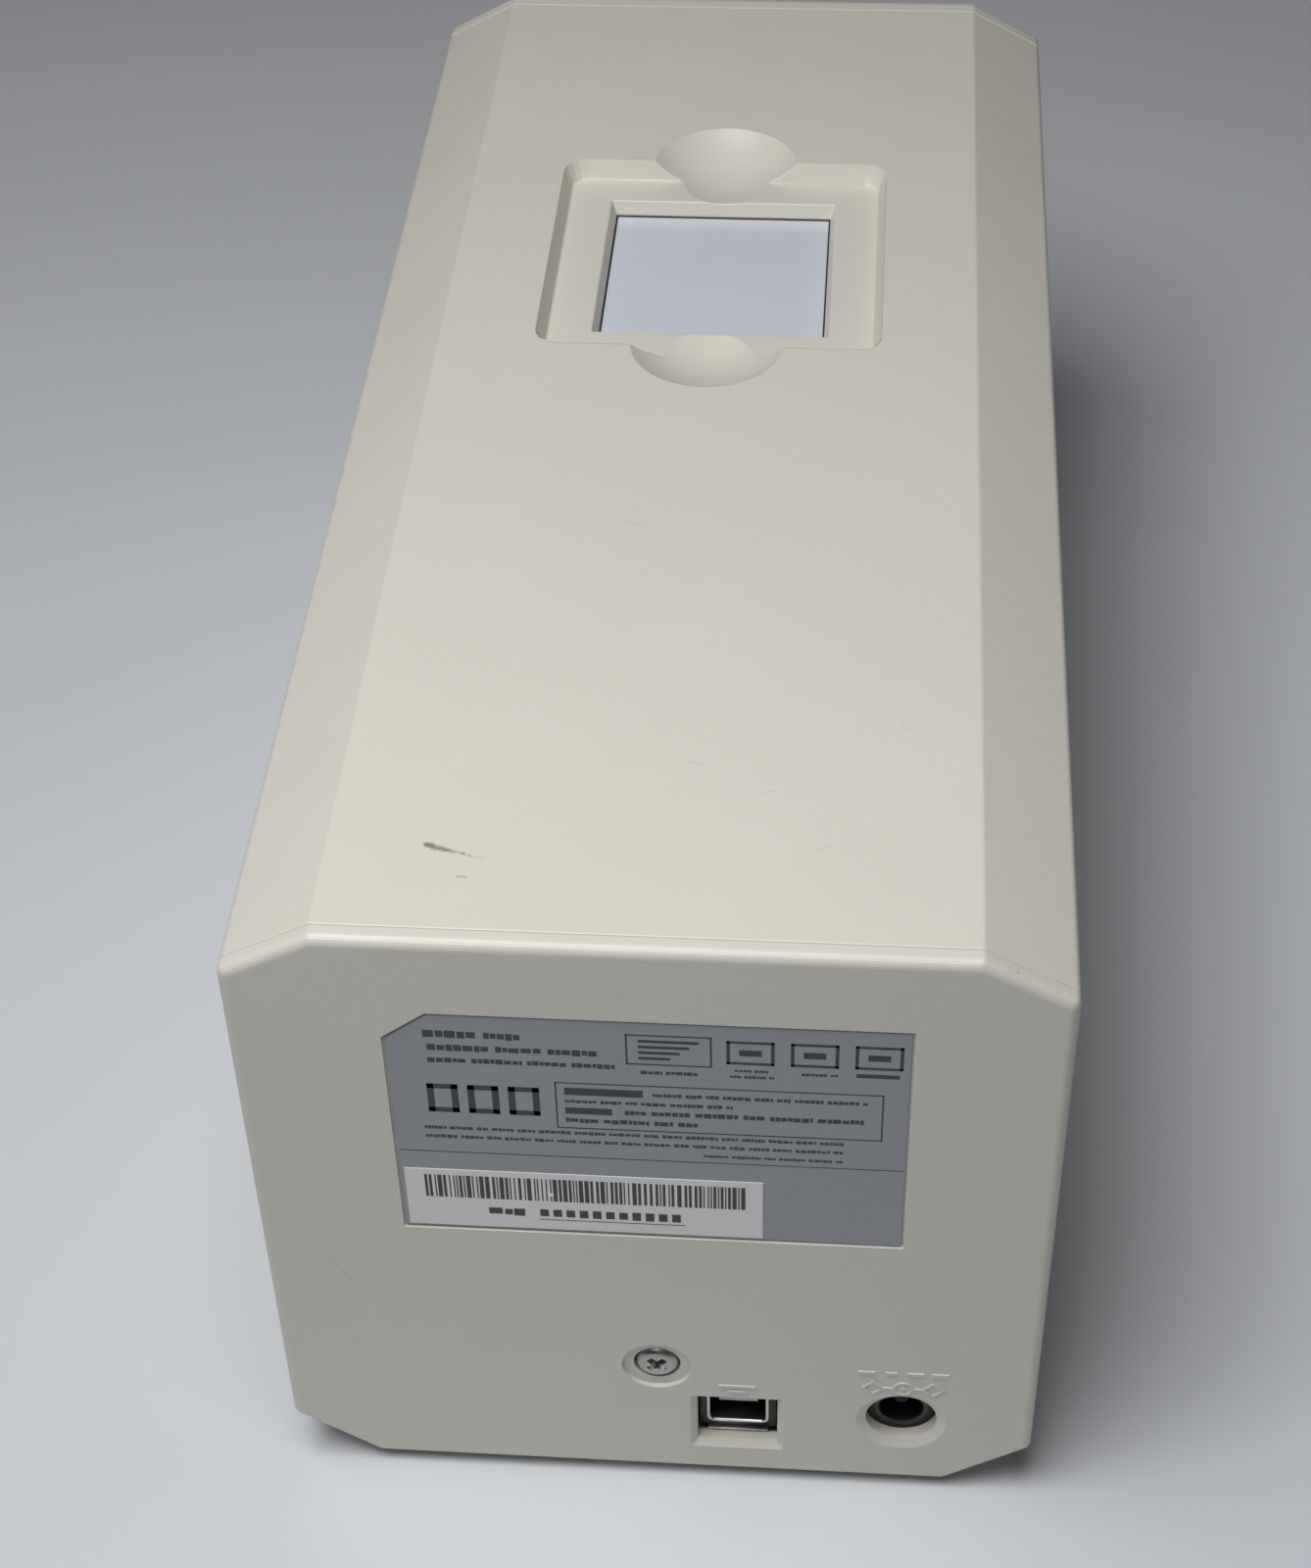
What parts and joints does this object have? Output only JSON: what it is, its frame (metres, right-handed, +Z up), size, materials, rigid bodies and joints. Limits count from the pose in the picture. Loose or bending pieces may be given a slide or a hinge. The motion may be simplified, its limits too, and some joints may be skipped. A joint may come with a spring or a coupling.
{
  "type": "film scanner",
  "caption": "Desktop film and slide scanner: an octagonal box with a feed-through holder slot, a lit slide viewer on top, rear sockets and a driven optics sled.",
  "frame": {"origin": "centre of the bounding box's footprint, on the table under the feet", "axes": "+Z up; -Y the front with its two buttons; +Y the rear panel with the sockets; X across, along the film holder's path"},
  "size_m": [0.106, 0.2384, 0.11],
  "materials": {
    "case_ivory": "fine moulded grain",
    "label_grey": "printed film, semi-gloss",
    "sticker_white": "coated paper",
    "window_opal": "opal diffuser",
    "black_plastic": "fine grain",
    "grey_plastic": "satin",
    "button_grey": "satin",
    "button_blue": "satin",
    "white_plastic": "moulded",
    "natural_plastic": "self-lubricating",
    "clear_plastic": "polished",
    "lens_glass": "coated",
    "mirror_front": "front-coated",
    "rubber_dark": "moulded",
    "steel_screw": "nickel plated",
    "steel_ground": "ground",
    "steel_sheet": "plated sheet",
    "connector_metal": "tin plated",
    "brass": "turned",
    "board_green": "solder mask",
    "ribbon_white": "laminated",
    "lamp_glass": "phosphor coated"
  },
  "bodies": {
    "case": {"top_shell": "case_ivory", "base_shell": "case_ivory", "rear_panel": "case_ivory", "front_bezel": "case_ivory", "control_plate": "grey_plastic", "viewer_window": "window_opal", "viewer_retainer": "black_plastic", "rating_label": "label_grey", "serial_sticker": "sticker_white", "rear_screw": "steel_screw", "case_screws": "steel_screw", "rubber_feet": "rubber_dark", "usb_shell": "connector_metal", "usb_tongue": "white_plastic", "dc_jack": "black_plastic", "dc_center_pin": "connector_metal", "light_pipes": "clear_plastic", "control_board": "board_green", "control_parts": "black_plastic", "slot_frame_left": "grey_plastic", "slot_frame_right": "grey_plastic", "flap_pins": "steel_ground", "flap_springs": "steel_sheet", "film_guide_lower": "black_plastic", "film_guide_upper": "black_plastic", "film_guide_screws": "steel_screw", "detent_spring": "steel_sheet", "lamp_housing": "white_plastic", "lamp_tubes": "lamp_glass", "lamp_end_holders": "natural_plastic", "lamp_diffuser": "window_opal", "inverter_board": "board_green", "chassis": "black_plastic", "inner_screws": "steel_screw", "guide_rods": "steel_ground", "home_sensor": "black_plastic", "screw_bearings": "brass", "scan_motor": "steel_sheet", "main_board": "board_green", "board_parts": "black_plastic", "ccd_ribbon": "ribbon_white"},
    "power_button": {"power_button": "button_grey"},
    "scan_button": {"scan_button": "button_blue"},
    "flap_left": {"slot_flap_left": "grey_plastic"},
    "flap_right": {"slot_flap_right": "grey_plastic"},
    "optics_sled": {"optics_sled": "black_plastic", "sled_cover": "black_plastic", "scan_mirror": "mirror_front", "lens_barrel": "black_plastic", "lens_glass": "lens_glass", "lens_clamp": "steel_sheet", "ccd_board": "board_green", "ccd_sensor": "black_plastic", "rod_bushings": "brass", "lead_nut": "natural_plastic"},
    "lead_screw": {"lead_screw": "steel_ground", "screw_gear": "natural_plastic"},
    "motor_rotor": {"motor_shaft": "steel_ground", "motor_pinion": "brass"}
  },
  "joints": [
    {"name": "scan_press", "type": "slide", "parent": "case", "child": "scan_button", "axis": [0, 1, 0], "range_m": [0, 0.0008], "stiffness_N_per_m": 700, "springref_m": -0.0005},
    {"name": "power_press", "type": "slide", "parent": "case", "child": "power_button", "axis": [0, 1, 0], "range_m": [0, 0.0008], "stiffness_N_per_m": 700, "springref_m": -0.0005},
    {"name": "flap_left_swing", "type": "hinge", "parent": "case", "child": "flap_left", "pos_m": [-0.0505, -0.035, 0.0632], "axis": [0, -1, 0], "range_deg": [-75, 75], "stiffness_Nm_per_rad": 0.0008},
    {"name": "flap_right_swing", "type": "hinge", "parent": "case", "child": "flap_right", "pos_m": [0.0505, -0.035, 0.0632], "axis": [0, 1, 0], "range_deg": [-75, 75], "stiffness_Nm_per_rad": 0.0008},
    {"name": "sled_slide", "type": "slide", "parent": "case", "child": "optics_sled", "axis": [0, -1, 0], "range_m": [0, 0.026], "deforming": ["ccd_ribbon"]},
    {"name": "screw_spin", "type": "hinge", "parent": "case", "child": "lead_screw", "pos_m": [-0.027, 0, 0.034], "axis": [0, 1, 0], "range_deg": [0, 1561]},
    {"name": "rotor_spin", "type": "hinge", "parent": "case", "child": "motor_rotor", "pos_m": [-0.027, 0, 0.0494], "axis": [0, 1, 0], "range_deg": [-3346, 0]}
  ],
  "couplings": [
    {"joint": "screw_spin", "follows": "sled_slide", "rad_per_m": 1047.2},
    {"joint": "rotor_spin", "follows": "sled_slide", "rad_per_m": -2244}
  ]
}
